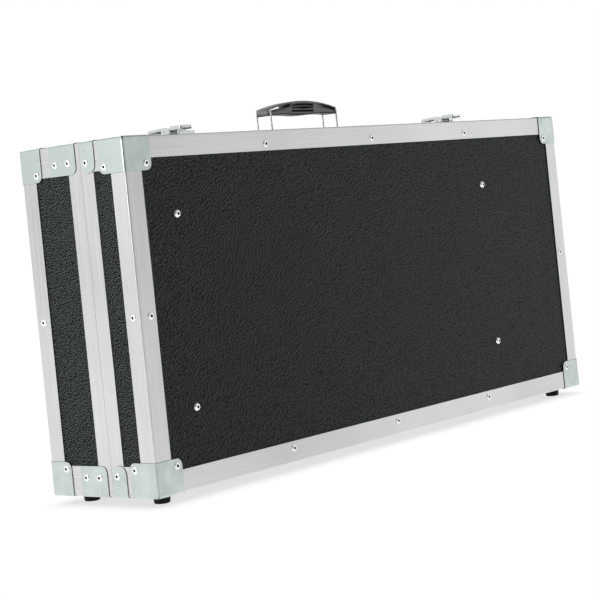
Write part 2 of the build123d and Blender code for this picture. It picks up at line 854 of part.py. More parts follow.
def latches():
    """Two draw latches across the parting on the top."""
    pivot_y, pivot_z = latch_y(lever_pivot_back), z_top + lever_pivot_up
    pin_y, pin_z = pivot_y + claw_pin_back, pivot_z - claw_pin_drop
    half = lever_width / 2
    save("latch_plates", *[latch_plate(x) for x in latch_places()])
    pins = [rod_x(latch_pin_radius, x - half, x + half, pivot_y, pivot_z) for x in latch_places()]
    save("latch_lever_pins", *pins)
    save("latch_keepers", *[keeper(x) for x in latch_places()])
    for name, x in zip(("left", "right"), latch_places()):
        save(f"latch_{name}_lever", lever(x))
        save(f"latch_{name}_claw", claw(x))
        save(f"latch_{name}_claw_pin", rod_x(latch_pin_radius, x - half, x + half, pin_y, pin_z))


def handle_ring(x):
    """Closed wire ring: its lower bar lies in a clip and its upper bar crosses the grip."""
    half, low, high = ring_width / 2, ring_axis_z, grip_axis_z
    corners = [
        (handle_y, low),
        (handle_y + half, low),
        (handle_y + half, high),
        (handle_y - half, high),
        (handle_y - half, low),
        (handle_y, low),
    ]
    path = Polyline(*[(x, y, z) for y, z in corners])
    start = Plane(origin=path @ 0, z_dir=path % 0)
    return sweep(start * Circle(ring_wire), path=path, transition=Transition.RIGHT)


def grip_top(x):
    """Height of the grip's arched top above the case at a distance from its middle."""
    return grip_mid_top - (grip_mid_top - grip_end_top) * (2 * x / grip_length) ** 2


def grip():
    """Arched moulded grip with a long slot for each ring bar and three grooves on both sides."""
    half_long, half_wide = grip_length / 2, grip_width / 2
    y0, y1 = handle_y - half_wide, handle_y + half_wide
    steps = [half_long - grip_length * i / grip_top_points for i in range(grip_top_points + 1)]
    top = [(x, z_top + grip_top(x)) for x in steps]
    scale = half_long / grip_under[-1][0]
    under = [(x * scale, z_top + high) for x, high in grip_under]
    under = [(-x, high) for x, high in reversed(under[1:])] + under
    body = bar_along_y(top + under, y0, y1)
    rims = body.edges().filter_by(Axis.Y, reverse=True)
    body = chamfer(rims, grip_bevel)
    for sign in (-1, 1):
        span = half_long - slot_from_end - slot_inner
        places = [slot_inner + span * i / slot_points for i in range(slot_points + 1)]
        middle = [(sign * x, z_top + grip_top(x) - slot_below) for x in places]
        over = [(x, z + slot_half_height) for x, z in middle]
        below = [(x, z - slot_half_height) for x, z in reversed(middle)]
        body -= bar_along_y(over + below, y0 - past, y1 + past)
    for high, bow, thick, taper in zip(groove_heights, groove_bow, groove_half, groove_taper):
        reach = groove_length / 2
        over, below = [], []
        for x in (-reach, -reach / 2, 0, reach / 2, reach):
            part = 1 - abs(x) / reach
            half = thick * (taper + (1 - taper) * part)
            level = z_top + high - bow * (x / reach) ** 2
            over.append((x, level + half))
            below.insert(0, (x, level - half))
        body -= bar_along_y(over + below, y0 - past, y0 + groove_depth)
        body -= bar_along_y(over + below, y1 - groove_depth, y1 + past)
    return body


def clip(x):
    """Saddle clip that holds a ring's lower bar on the panel."""
    half, wide = clip_length / 2, clip_width / 2
    y0, y1 = handle_y - wide, handle_y + wide
    bore = ring_wire + clip_clearance
    hump = bore + clip_sheet
    plate = block(x - half, x + half, y0, y1, panel_top, panel_top + clip_sheet)
    plate = chamfer(upright_edges(plate), clip_corner)
    saddle = facet_y(hump, y0, y1, x, ring_axis_z)
    saddle += block(x - hump, x + hump, y0, y1, panel_top, ring_axis_z)
    saddle &= block(x - half, x + half, y0, y1, panel_top, ring_axis_z + hump + past)
    whole = plate + saddle - facet_y(bore, y0 - past, y1 + past, x, ring_axis_z)
    return whole - block(x - bore, x + bore, y0 - past, y1 + past, panel_top - past, ring_axis_z)


def handle():
    """Carrying handle: two clips, two wire rings and the grip."""
    places = (-ring_pitch / 2, ring_pitch / 2)
    save("handle_clips", *[clip(x) for x in places])
    save("handle_left_ring", handle_ring(places[0]))
    save("handle_right_ring", handle_ring(places[1]))
    save("handle_grip", grip())


def clip_rivets():
    """Rivets at both ends of the handle clips."""
    heads = []
    size = (clip_rivet_radius, clip_rivet_top, clip_rivet_height)
    for x in (-ring_pitch / 2, ring_pitch / 2):
        for shift in (-clip_rivet_pitch / 2, clip_rivet_pitch / 2):
            place = (x + shift, handle_y, panel_top + clip_sheet)
            heads.append(rivet(place, (0, 0, 1), *size))
    return heads


os.makedirs("parts", exist_ok=True)
skin = envelope()
base_small, lid_small = latch_rivets()
for half_side in (LID, BASE):
    panels(half_side)
    edge_angles(half_side, skin)
    closing_frame(half_side, skin)
    brackets(half_side)
    feet(half_side)
    lining(half_side)
save("lid_rivets", *frame_rivets(LID), *hinge_rivets(LID), *lid_small)
save("base_rivets", *frame_rivets(BASE), *hinge_rivets(BASE), *base_small, *clip_rivets())
panel_bolts()
hinges()
latches()
handle()
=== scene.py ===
import math

import bmesh
import bpy
from mathutils import Matrix, Vector


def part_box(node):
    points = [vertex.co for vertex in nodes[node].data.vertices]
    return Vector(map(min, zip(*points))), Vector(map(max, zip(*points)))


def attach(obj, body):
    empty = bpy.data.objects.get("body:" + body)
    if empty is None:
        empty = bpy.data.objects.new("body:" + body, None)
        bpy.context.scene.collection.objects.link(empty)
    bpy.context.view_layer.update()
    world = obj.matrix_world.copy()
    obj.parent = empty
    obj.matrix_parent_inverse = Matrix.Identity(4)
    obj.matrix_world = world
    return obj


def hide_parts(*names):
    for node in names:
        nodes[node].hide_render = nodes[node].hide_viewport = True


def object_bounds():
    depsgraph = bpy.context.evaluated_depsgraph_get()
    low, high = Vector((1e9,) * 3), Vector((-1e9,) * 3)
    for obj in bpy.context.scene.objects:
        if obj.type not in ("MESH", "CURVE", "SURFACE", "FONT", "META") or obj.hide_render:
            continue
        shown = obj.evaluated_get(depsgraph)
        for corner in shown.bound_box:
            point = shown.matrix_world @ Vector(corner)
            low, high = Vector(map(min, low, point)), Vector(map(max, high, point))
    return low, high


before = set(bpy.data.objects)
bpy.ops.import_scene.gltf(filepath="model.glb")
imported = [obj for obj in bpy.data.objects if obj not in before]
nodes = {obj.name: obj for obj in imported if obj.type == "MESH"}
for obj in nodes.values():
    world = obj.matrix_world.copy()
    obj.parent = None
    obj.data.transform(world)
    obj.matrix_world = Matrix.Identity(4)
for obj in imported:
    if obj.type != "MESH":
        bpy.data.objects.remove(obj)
cad_low, cad_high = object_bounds()


# Camera: a long lens at the left front, level with the upper half of the case and rolled a little,
# as the product picture was taken.
def in_scene(name, data):
    thing = bpy.data.objects.new(name, data)
    bpy.context.collection.objects.link(thing)
    return thing


camera_place = Vector((-2.1839, -1.7734, 0.3738))
camera_yaw = math.radians(50.053)
camera_roll = math.radians(-5.852)
camera_level = Vector((math.cos(camera_yaw), -math.sin(camera_yaw), 0))
camera_right = math.cos(camera_roll) * camera_level + Vector((0, 0, math.sin(camera_roll)))
camera_up = -math.sin(camera_roll) * camera_level + Vector((0, 0, math.cos(camera_roll)))
camera_back = camera_right.cross(camera_up)
camera_data = bpy.data.cameras.new("camera")
camera_data.sensor_width = 36
camera_data.lens = 105.336
camera_data.shift_y = -0.14646
camera_data.clip_end = 60
camera = in_scene("camera", camera_data)
camera_turn = Matrix((camera_right, camera_up, camera_back)).transposed()
camera.matrix_world = Matrix.Translation(camera_place) @ camera_turn.to_4x4()
bpy.context.scene.camera = camera
bpy.context.scene.view_settings.view_transform = "Standard"


# Room: white surroundings that the camera sees, and a bright horizon for the metal. It is darker
# straight overhead and round the camera's own stand, which gives every rolled edge a dark line.
def fed(tree, node, feeds):
    for spot, value in feeds.items():
        if isinstance(value, bpy.types.NodeSocket):
            tree.links.new(value, node.inputs[spot])
        else:
            node.inputs[spot].default_value = value
    return node


def added(tree, kind, feeds, **settings):
    node = tree.nodes.new(kind)
    for setting, value in settings.items():
        setattr(node, setting, value)
    return fed(tree, node, feeds)


def reckon(tree, operation, *values):
    return added(tree, "ShaderNodeMath", dict(enumerate(values)), operation=operation).outputs[0]


def ranged(tree, value, low, high, to_low, to_high):
    feeds = {"Value": value, "From Min": low, "From Max": high, "To Min": to_low, "To Max": to_high}
    return added(tree, "ShaderNodeMapRange", feeds).outputs["Result"]


def share_along(tree, place, way):
    return added(tree, "ShaderNodeVectorMath", {0: place, 1: way}, operation="DOT_PRODUCT").outputs["Value"]


def mixed(tree, choice, first, second):
    return added(tree, "ShaderNodeMixShader", {0: choice, 1: first, 2: second}).outputs[0]


world = bpy.data.worlds.new("studio")
bpy.context.scene.world = world
world.use_nodes = True
room = world.node_tree
room.nodes.clear()
room_rays = added(room, "ShaderNodeLightPath", {}).outputs
room_seen = reckon(room, "MAXIMUM", room_rays["Is Camera Ray"], room_rays["Is Transmission Ray"])
room_way = added(room, "ShaderNodeTexCoord", {}).outputs["Generated"]
room_strength = 0.88
overhead = Vector((0, 0, 1))
for heading, near, far, dimmed in ((camera_back, 0.88, 0.5, 0.02), (overhead, 0.92, 0.45, 0.2)):
    room_dim = ranged(room, share_along(room, room_way, heading), far, near, 1.0, dimmed)
    room_strength = reckon(room, "MULTIPLY", room_dim, room_strength)
room_tint = {"Color": (0.985, 0.992, 1, 1), "Strength": room_strength}
room_light = added(room, "ShaderNodeBackground", room_tint).outputs[0]
room_white = added(room, "ShaderNodeBackground", {"Color": (1, 1, 1, 1), "Strength": 1.0}).outputs[0]
added(room, "ShaderNodeOutputWorld", {"Surface": mixed(room, room_seen, room_light, room_white)})

# Floor: a plain white sheet. The camera sees through it, except for a painted shade near the case, so that
# the lid, which swings down past the floor line when it opens, stays in view. Lamps reach the lid through
# it too.
floor_half = 4.0
floor_mesh = bpy.data.meshes.new("floor")
floor_corners = [(-floor_half, -floor_half, 0), (floor_half, -floor_half, 0)]
floor_corners += [(floor_half, floor_half, 0), (-floor_half, floor_half, 0)]
floor_mesh.from_pydata(floor_corners, [], [(0, 1, 2, 3)])
floor = in_scene("floor", floor_mesh)
floor_paint = bpy.data.materials.new("floor_white")
floor_paint.use_nodes = True
paint = floor_paint.node_tree
paint.nodes.clear()
paint_rays = added(paint, "ShaderNodeLightPath", {}).outputs
shade_reach, deepest_shade = 0.04, 0.7
paint_open = added(paint, "ShaderNodeAmbientOcclusion", {"Distance": shade_reach}, samples=12).outputs["AO"]
paint_depth = ranged(paint, paint_open, low=0.0, high=0.9, to_low=deepest_shade, to_high=1.0)
paint_channels = {channel: paint_depth for channel in ("Red", "Green", "Blue")}
painted_shade_grey = added(paint, "ShaderNodeCombineColor", paint_channels).outputs["Color"]
# Painted shade: the camera sees grey only where the occlusion node finds the case close above, and clear
# floor elsewhere.
painted_floor_shade = added(paint, "ShaderNodeBsdfTransparent", {"Color": painted_shade_grey}).outputs[0]
paint_clear = added(paint, "ShaderNodeBsdfTransparent", {}).outputs[0]
paint_matt = added(paint, "ShaderNodeBsdfDiffuse", {"Color": (0.86, 0.86, 0.86, 1)}).outputs[0]
paint_glow = added(paint, "ShaderNodeEmission", {"Strength": 1.35}).outputs[0]
paint_by_metal = mixed(paint, paint_rays["Is Glossy Ray"], paint_matt, paint_glow)
paint_by_shadow = mixed(paint, paint_rays["Is Shadow Ray"], paint_by_metal, paint_clear)
paint_by_camera = mixed(paint, paint_rays["Is Camera Ray"], paint_by_shadow, painted_floor_shade)
added(paint, "ShaderNodeOutputMaterial", {"Surface": paint_by_camera})
floor_mesh.materials.append(floor_paint)


# Lamps: a faint broad soft box over the front, one low at the right that brightens the far end of the
# front, a strong tall one at the left end and one behind.
def soft_box(name, place, aim, width, tall, watts):
    lamp_data = bpy.data.lights.new(name, "AREA")
    lamp_data.shape = "RECTANGLE"
    lamp_data.size = width
    lamp_data.size_y = tall
    lamp_data.energy = watts
    lamp = in_scene(name, lamp_data)
    lamp.location = place
    lamp.rotation_euler = (Vector(aim) - Vector(place)).to_track_quat("-Z", "Y").to_euler()


soft_box("lamp_front", place=(0.9, -2.6, 2.3), aim=(0, 0, 0.25), width=2.2, tall=1.4, watts=6)
soft_box("lamp_right", place=(3.9, -2.2, 0.35), aim=(0.4, 0, 0.25), width=2.0, tall=2.6, watts=13)
soft_box("lamp_left", place=(-2.9, 0.6, 1.3), aim=(-0.4, 0, 0.3), width=1.4, tall=1.8, watts=56)
soft_box("lamp_back", place=(0.5, 2.6, 1.9), aim=(0, 0, 0.25), width=2.0, tall=1.2, watts=24)


# Panels: seven millimetre plywood with a black laminate on the outside, pressed with a leather
# grain of rounded pebbles a few millimetres wide. Its colour carries a painted highlight on each pebble's
# slope towards the upper left and painted shade on the far slope. Ten plates, cut square and held by the
# edging.
def new_finish(name):
    finish = bpy.data.materials.new(name)
    finish.use_nodes = True
    tree = finish.node_tree
    place = added(tree, "ShaderNodeTexCoord", {}).outputs["Object"]
    return finish, tree, tree.nodes["Principled BSDF"], place


def noise(tree, place, scale, detail=2.0, rough=0.5):
    feeds = {"Vector": place, "Scale": scale, "Detail": detail, "Roughness": rough}
    return added(tree, "ShaderNodeTexNoise", feeds).outputs["Fac"]


def shades(tree, value, *stops):
    ramp = added(tree, "ShaderNodeValToRGB", {"Fac": value})
    ramp.color_ramp.elements.remove(ramp.color_ramp.elements[1])
    for spot, (at, colour) in enumerate(stops):
        stop = ramp.color_ramp.elements[0] if spot == 0 else ramp.color_ramp.elements.new(at)
        stop.position = at
        stop.color = (*colour, 1)
    return ramp.outputs["Color"]


def dressed(tree, shader, height, looks, relief):
    bump = added(tree, "ShaderNodeBump", {"Strength": 1.0, "Distance": relief, "Height": height})
    fed(tree, shader, {**looks, "Normal": bump.outputs["Normal"]})


def give(finish, *names):
    for name in names:
        for spot in nodes[name].material_slots:
            spot.material = finish


def leather_laminate(name, sideways, upward, pebble, pebble_stretch, slope):
    finish, tree, shader, place = new_finish(name)
    slope = math.radians(slope)
    long_way = math.cos(slope) * sideways + math.sin(slope) * upward
    short_way = math.cos(slope) * upward - math.sin(slope) * sideways
    ways = {"X": share_along(tree, place, pebble_stretch * long_way)}
    ways["Y"] = share_along(tree, place, short_way)
    grain = added(tree, "ShaderNodeCombineXYZ", ways).outputs[0]
    bend_scale, bend_reach = 0.5 / pebble, 0.7 * pebble
    bend_feeds = {"Vector": grain, "Scale": bend_scale, "Detail": 1.0}
    bend = added(tree, "ShaderNodeTexNoise", bend_feeds).outputs["Color"]
    light_along, light_across = -0.03, 0.13

    def pebbles(lit):
        steps = {0: bend, 1: (bend_reach,) * 3, 2: grain}
        bent = added(tree, "ShaderNodeVectorMath", steps, operation="MULTIPLY_ADD").outputs[0]
        toward_light = (lit * light_along * pebble, lit * light_across * pebble, 0)
        steps = {0: bent, 1: toward_light}
        moved = added(tree, "ShaderNodeVectorMath", steps, operation="ADD").outputs[0]
        feeds = {"Vector": moved, "Scale": 1 / pebble, "Smoothness": 0.15, "Randomness": 0.8}
        cells = added(tree, "ShaderNodeTexVoronoi", feeds, feature="SMOOTH_F1").outputs["Distance"]
        wrinkle = noise(tree, moved, scale=1.5 / pebble, detail=1.0)
        wrinkle_share = 0.3
        dome = ranged(tree, cells, low=0.05, high=0.8, to_low=1.0, to_high=0.0)
        return reckon(tree, "MULTIPLY_ADD", wrinkle, wrinkle_share, dome)

    low_side, high_side = pebbles(-1), pebbles(1)
    height = reckon(tree, "MULTIPLY", reckon(tree, "ADD", low_side, high_side), 0.5)
    contrast, middle_tone = 3.2, 0.42
    # Painted light: the difference of the two shifted pebble fields makes the slopes towards the upper left
    # light and the far slopes dark.
    lit = reckon(tree, "SUBTRACT", low_side, high_side)
    painted_glint = reckon(tree, "MULTIPLY_ADD", lit, contrast, middle_tone)
    patch_depth = 0.1
    patch = reckon(tree, "MULTIPLY_ADD", noise(tree, place, scale=6.0), patch_depth, -patch_depth / 2)
    # Tones of the painted relief light: painted shadow, slack, lit crown and painted glint.
    shadow, slack = (0.0002, 0.0003, 0.0004), (0.0020, 0.0030, 0.0033)
    crown, painted_spark = (0.014, 0.018, 0.0188), (0.075, 0.087, 0.089)
    stops = ((0.15, shadow), (0.5, slack), (0.72, crown), (1.0, painted_spark))
    looks = {"Base Color": shades(tree, reckon(tree, "ADD", painted_glint, patch), *stops)}
    looks["Roughness"] = ranged(tree, height, low=0.2, high=1.1, to_low=0.55, to_high=0.4)
    looks.update({"Specular IOR Level": 0.08, "Sheen Weight": 0.14})
    looks.update({"Sheen Roughness": 0.35, "Sheen Tint": (0.7, 1, 1, 1)})
    dressed(tree, shader, height, looks, relief=0.0005)
    return finish


right_way, back_way, up_way = Vector((1, 0, 0)), Vector((0, 1, 0)), Vector((0, 0, 1))
for plates, sideways, upward, pebble, pebble_stretch, slope in (
    (("face",), right_way, up_way, 0.0026, 0.5, 35),
    (("top", "bottom"), right_way, back_way, 0.0028, 0.5, 35),
    (("left", "right"), -back_way, up_way, 0.0021, 0.6, 12),
):
    grain_name = "black_leather_" + plates[0]
    laminate = leather_laminate(grain_name, sideways, upward, pebble, pebble_stretch, slope)
    for half in ("base", "lid"):
        for plate in plates:
            give(laminate, f"{half}_{plate}_panel")


# Edging: extruded aluminium angles over every edge, and the tongue and groove profile round both
# mouths. The metal is satin anodised, with faint lines from the die along each length.
def die_lines(tree, place, along):
    along_scale, across_scale = 4, 900
    scale = [along_scale if axis == along else across_scale for axis in "XYZ"]
    return added(tree, "ShaderNodeMapping", {"Vector": place, "Scale": scale}).outputs["Vector"]


def satin_aluminium(name, along):
    finish, tree, shader, place = new_finish(name)
    if along == "frame":
        apart = added(tree, "ShaderNodeSeparateXYZ", {0: place}).outputs
        from_end = reckon(tree, "SUBTRACT", frame_half_length, reckon(tree, "ABSOLUTE", apart["X"]))
        from_middle = reckon(tree, "ABSOLUTE", reckon(tree, "SUBTRACT", apart["Z"], frame_middle))
        from_top = reckon(tree, "SUBTRACT", frame_half_height, from_middle)
        upright = reckon(tree, "LESS_THAN", from_end, from_top)
        sides = {"Factor": upright, 4: die_lines(tree, place, "X"), 5: die_lines(tree, place, "Z")}
        lines = added(tree, "ShaderNodeMix", sides, data_type="VECTOR").outputs[1]
    else:
        lines = die_lines(tree, place, along)
    streak = noise(tree, lines, scale=1.0, detail=3.0, rough=0.65)
    cloud = noise(tree, place, scale=5.0)
    cloud_share, streak_share = 0.5, 0.75
    lined = reckon(tree, "MULTIPLY", streak, streak_share)
    tone = reckon(tree, "MULTIPLY_ADD", cloud, cloud_share, lined)
    dark, light = (0.44, 0.443, 0.44), (0.57, 0.57, 0.565)
    looks = {"Base Color": shades(tree, tone, (0.42, dark), (0.8, light)), "Metallic": 0.85}
    looks["Roughness"] = ranged(tree, streak, low=0.3, high=0.7, to_low=0.28, to_high=0.42)
    dressed(tree, shader, streak, looks, relief=0.00006)
    return finish


def rounded_block(name, low, high, radius, segments):
    block = bmesh.new()
    bmesh.ops.create_cube(block, size=1)
    middle, size = (low + high) / 2, high - low
    for vertex in block.verts:
        vertex.co = middle + Vector([vertex.co[axis] * size[axis] for axis in range(3)])
    bmesh.ops.bevel(block, geom=block.edges, offset=radius, segments=segments, profile=0.5, affect="EDGES")
    mesh = bpy.data.meshes.new(name)
    block.to_mesh(mesh)
    block.free()
    return mesh


def cut(piece, operation, cutter):
    change = piece.modifiers.new("cut", "BOOLEAN")
    change.operation = operation
    change.solver = "EXACT"
    change.object = cutter


def settled(piece):
    bpy.context.view_layer.update()
    ready = piece.evaluated_get(bpy.context.evaluated_depsgraph_get())
    mesh = bpy.data.meshes.new_from_object(ready)
    piece.modifiers.clear()
    piece.data = mesh
    return mesh


def smoothed(mesh, crease):
    mesh.shade_smooth()
    mesh.set_sharp_from_angle(angle=math.radians(crease))


same_point = 1e-6


def softened(name, body, finish, rim=None, bend=None, around=None, cut_edges=None):
    piece = in_scene(name + "_soft", nodes[name].data.copy())
    piece.modifiers.new("weld", "WELD").merge_threshold = same_point
    if bend:
        cutter = in_scene("edge_rounder", rounded_block("edge_rounder", *around, bend, segments=6))
        cut(piece, "INTERSECT", cutter)
    mesh = settled(piece)
    if bend:
        bpy.data.objects.remove(cutter)
    if rim:
        flat_angle, corner_angle = math.radians(2), math.radians(32)
        rounded = bmesh.new()
        rounded.from_mesh(mesh)
        bmesh.ops.dissolve_limit(rounded, angle_limit=flat_angle, verts=rounded.verts, edges=rounded.edges)
        corners = [edge for edge in rounded.edges if edge.calc_face_angle(0) > corner_angle]
        bmesh.ops.bevel(rounded, geom=corners, offset=rim, segments=3, profile=0.5, affect="EDGES")
        rounded.to_mesh(mesh)
        rounded.free()
    mesh.materials.clear()
    mesh.materials.append(finish)
    if cut_edges:
        # Faces that do not face outward take the second finish. For the brackets this is the nearly black
        # cut steel with painted shade.
        facing_out = 0.5
        mesh.materials.append(cut_edges)
        least = [around[0][axis] + bend for axis in range(3)]
        most = [around[1][axis] - bend for axis in range(3)]
        for face in mesh.polygons:
            core = Vector([min(max(face.center[axis], least[axis]), most[axis]) for axis in range(3)])
            outward = (face.center - core).normalized()
            face.material_index = 0 if outward.dot(face.normal) > facing_out else 1
    smoothed(mesh, crease=50)
    piece.modifiers.new("even", "WEIGHTED_NORMAL").keep_sharp = True
    settled(piece)
    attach(piece, body)
    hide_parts(name)


frame_low, frame_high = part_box("base_closing_frame")
frame_half_length = frame_high.x
frame_middle = (frame_low.z + frame_high.z) / 2
frame_half_height = (frame_high.z - frame_low.z) / 2
front_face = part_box("lid_top_edge")[0].y
edging_corner = Vector((frame_low.x, front_face, frame_low.z))
edging_reach = (edging_corner, Vector((frame_high.x, -front_face, frame_high.z)))
edging_bend = 0.0022
long_bars = satin_aluminium("aluminium_along_length", "X")
uprights = satin_aluminium("aluminium_upright", "Z")
cross_bars = satin_aluminium("aluminium_across", "Y")
mouth_bars = satin_aluminium("aluminium_mouth_frame", "frame")
for half in ("base", "lid"):
    for bar, metal in (("top", long_bars), ("bottom", long_bars), ("left", uprights), ("right", uprights)):
        softened(f"{half}_{bar}_edge", half, metal, bend=edging_bend, around=edging_reach)
    give(cross_bars, f"{half}_cross_edges")
    give(mouth_bars, f"{half}_closing_frame")


# Corner and closing brackets: pressed from steel sheet and zinc plated, so they look paler and a
# little greener than the aluminium, with soft cloudy patches and a smooth low gloss.
def zinc_plate(name, dark, light, gloss):
    finish, tree, shader, place = new_finish(name)
    cloud = noise(tree, place, scale=45.0, detail=4.0, rough=0.6)
    speck = noise(tree, place, scale=900.0)
    speck_share = 0.2
    tone = reckon(tree, "MULTIPLY_ADD", speck, speck_share, cloud)
    looks = {"Base Color": shades(tree, tone, (0.35, dark), (0.85, light)), "Metallic": 0.8}
    dull, bright = gloss + 0.08, gloss - 0.05
    looks["Roughness"] = ranged(tree, cloud, low=0.3, high=0.7, to_low=dull, to_high=bright)
    dressed(tree, shader, tone, looks, relief=0.00005)
    return finish


# Cut edges and undersides of the brackets are nearly black: partly the dull unplated steel of a cut edge,
# partly painted shade for the gaps beside the brackets and in their corner slits.
cut_shade_dark, cut_shade_light = (0.05, 0.052, 0.052), (0.11, 0.112, 0.112)
cut_steel_and_shade = zinc_plate("cut_steel_edges_and_shade", cut_shade_dark, cut_shade_light, gloss=0.5)
zinc_dark, zinc_light = (0.39, 0.445, 0.435), (0.50, 0.555, 0.545)
zinc = zinc_plate("zinc_plated_steel", zinc_dark, zinc_light, gloss=0.34)
bracket_low, bracket_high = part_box("lid_corner_brackets")
bracket_reach = (bracket_low, Vector((bracket_high.x, -bracket_low.y, bracket_high.z)))
bracket_bend, pressed_rim, fine_rim = 0.004, 0.0004, 0.0003
for half in ("base", "lid"):
    for kind in ("corner_brackets", "closing_brackets"):
        softened(
            f"{half}_{kind}", half, zinc, pressed_rim, bracket_bend, bracket_reach, cut_steel_and_shade
        )


# Blind rivets: domed bright heads with the hollow left by the pulled mandrel, its inside painted near black
# as shade. Each is set by hand, so no two are turned alike. They hold the angles, brackets, hinges, clips
# and latch plates.
def separate_pieces(name):
    whole = bmesh.new()
    whole.from_mesh(nodes[name].data)
    bmesh.ops.remove_doubles(whole, verts=whole.verts, dist=same_point)
    left = set(whole.verts)
    pieces = []
    while left:
        reached = {left.pop()}
        edge = list(reached)
        while edge:
            vertex = edge.pop()
            for link in vertex.link_edges:
                other = link.other_vert(vertex)
                if other in left:
                    left.remove(other)
                    reached.add(other)
                    edge.append(other)
        low = Vector([min(v.co[axis] for v in reached) for axis in range(3)])
        high = Vector([max(v.co[axis] for v in reached) for axis in range(3)])
        pieces.append((low, high))
    whole.free()
    return sorted(pieces, key=lambda piece: tuple(piece[0]))


def head_places(name):
    places = []
    for low, high in separate_pieces(name):
        size = high - low
        thin = min(range(3), key=lambda axis: size[axis])
        foot = (low + high) / 2
        outward = 1 if foot[thin] > case_middle[thin] else -1
        foot[thin] = low[thin] if outward > 0 else high[thin]
        facing = Vector((0, 0, 0))
        facing[thin] = outward
        places.append((foot, facing, max(size) / 2, size[thin]))
    return places


# A profile runs from the foot of the head to its middle, in shares of its radius and height. From
# the ring numbered hollow on it is the socket, which has the wanted number of sides.
def head_tree(name, profile, hollow):
    tree = bpy.data.node_groups.new(name, "GeometryNodeTree")
    panel = tree.interface
    panel.new_socket("Places", in_out="INPUT", socket_type="NodeSocketGeometry")
    for label, value in rivet_sizes.items():
        kind = "NodeSocketFloat" if isinstance(value, float) else "NodeSocketInt"
        panel.new_socket(label, in_out="INPUT", socket_type=kind).default_value = value
    panel.new_socket("Finish", in_out="INPUT", socket_type="NodeSocketMaterial")
    panel.new_socket("Heads", in_out="OUTPUT", socket_type="NodeSocketGeometry")
    given = added(tree, "NodeGroupInput", {}).outputs

    def worked(operation, *values):
        return reckon(tree, operation, *values)

    def profile_curve(values):
        node = added(tree, "ShaderNodeFloatCurve", {"Value": step})
        points = node.mapping.curves[0].points
        points[0].location = (0, values[0])
        points[1].location = (1, values[-1])
        for spot, value in enumerate(values[1:-1], 1):
            points.new(spot / (len(values) - 1), value)
        for point in points:
            point.handle_type = "VECTOR"
        node.mapping.update()
        return node.outputs[0]

    around = {"Size X": 1, "Size Y": 1, "Vertices X": worked("ADD", given["Segments"], 1)}
    sheet = added(tree, "GeometryNodeMeshGrid", {**around, "Vertices Y": len(profile)})
    position = added(tree, "GeometryNodeInputPosition", {}).outputs[0]
    where = added(tree, "ShaderNodeSeparateXYZ", {0: position}).outputs
    turn = worked("MULTIPLY", worked("ADD", where["X"], 0.5), math.tau)
    step = worked("ADD", where["Y"], 0.5)
    out = profile_curve([radius for radius, height in profile])
    up = profile_curve([height for radius, height in profile])
    inside = profile_curve([1 if spot >= hollow else 0 for spot in range(len(profile))])
    sector = worked("DIVIDE", math.tau, given["Socket Sides"])
    half_sector = worked("MULTIPLY", sector, 0.5)
    swing = worked("SUBTRACT", worked("FLOORED_MODULO", turn, sector), half_sector)
    flat = worked("DIVIDE", worked("COSINE", half_sector), worked("COSINE", swing))
    shape = worked("ADD", worked("MULTIPLY", worked("SUBTRACT", flat, 1), inside), 1)
    reach = worked("MULTIPLY", worked("MULTIPLY", out, given["Head Radius"]), shape)
    axes = {"X": worked("MULTIPLY", reach, worked("COSINE", turn))}
    axes["Y"] = worked("MULTIPLY", reach, worked("SINE", turn))
    axes["Z"] = worked("MULTIPLY", up, given["Head Height"])
    point = added(tree, "ShaderNodeCombineXYZ", axes).outputs[0]
    marks = {"Geometry": sheet.outputs["Mesh"], "Name": "hollow", "Value": inside}
    kept = added(tree, "GeometryNodeStoreNamedAttribute", marks).outputs[0]
    shaped = added(tree, "GeometryNodeSetPosition", {"Geometry": kept, "Position": point}).outputs[0]
    seam = {"Geometry": shaped, "Distance": 2e-6}
    closed = added(tree, "GeometryNodeMergeByDistance", seam).outputs[0]
    facing, size = (
        added(tree, "GeometryNodeInputNamedAttribute", {"Name": label}, data_type="FLOAT_VECTOR")
        for label in ("facing", "size")
    )
    aim = {"Vector": facing.outputs["Attribute"]}
    aligned = added(tree, "FunctionNodeAlignRotationToVector", aim, axis="Z").outputs[0]
    throw = {"Max": math.tau, "Seed": given["Spin Seed"]}
    chance = added(tree, "FunctionNodeRandomValue", throw, data_type="FLOAT").outputs["Value"]
    spin = added(tree, "FunctionNodeAxisAngleToRotation", {"Axis": (0, 0, 1), "Angle": chance}).outputs[0]
    turns = {"Rotation": aligned, "Rotate By": spin}
    turned_head = added(tree, "FunctionNodeRotateRotation", turns, rotation_space="LOCAL").outputs[0]
    spread = {"Points": given["Places"], "Instance": closed, "Rotation": turned_head}
    spread["Scale"] = size.outputs["Attribute"]
    copies = added(tree, "GeometryNodeInstanceOnPoints", spread).outputs[0]
    real = added(tree, "GeometryNodeRealizeInstances", {0: copies}).outputs[0]
    painted = added(tree, "GeometryNodeSetMaterial", {"Geometry": real, "Material": given["Finish"]})
    added(tree, "NodeGroupOutput", {"Heads": painted.outputs[0]})
    return tree


def set_heads(name, tree, places, body, values):
    points = bpy.data.meshes.new(name + "_places")
    points.from_pydata([foot for foot, *rest in places], [], [])
    facing = points.attributes.new("facing", "FLOAT_VECTOR", "POINT")
    size = points.attributes.new("size", "FLOAT_VECTOR", "POINT")
    for spot, (foot, direction, radius, tall) in enumerate(places):
        facing.data[spot].vector = direction
        wide = radius / values["Head Radius"]
        size.data[spot].vector = (wide, wide, tall / values["Head Height"])
    heads = in_scene(name, points)
    modifier = heads.modifiers.new("heads", "NODES")
    modifier.node_group = tree
    for item in tree.interface.items_tree:
        if item.item_type == "SOCKET" and item.in_out == "INPUT" and item.name in values:
            modifier[item.identifier] = values[item.name]
    mesh = settled(heads)
    mesh.name = name
    smoothed(mesh, crease=38)
    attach(heads, body)
    return heads


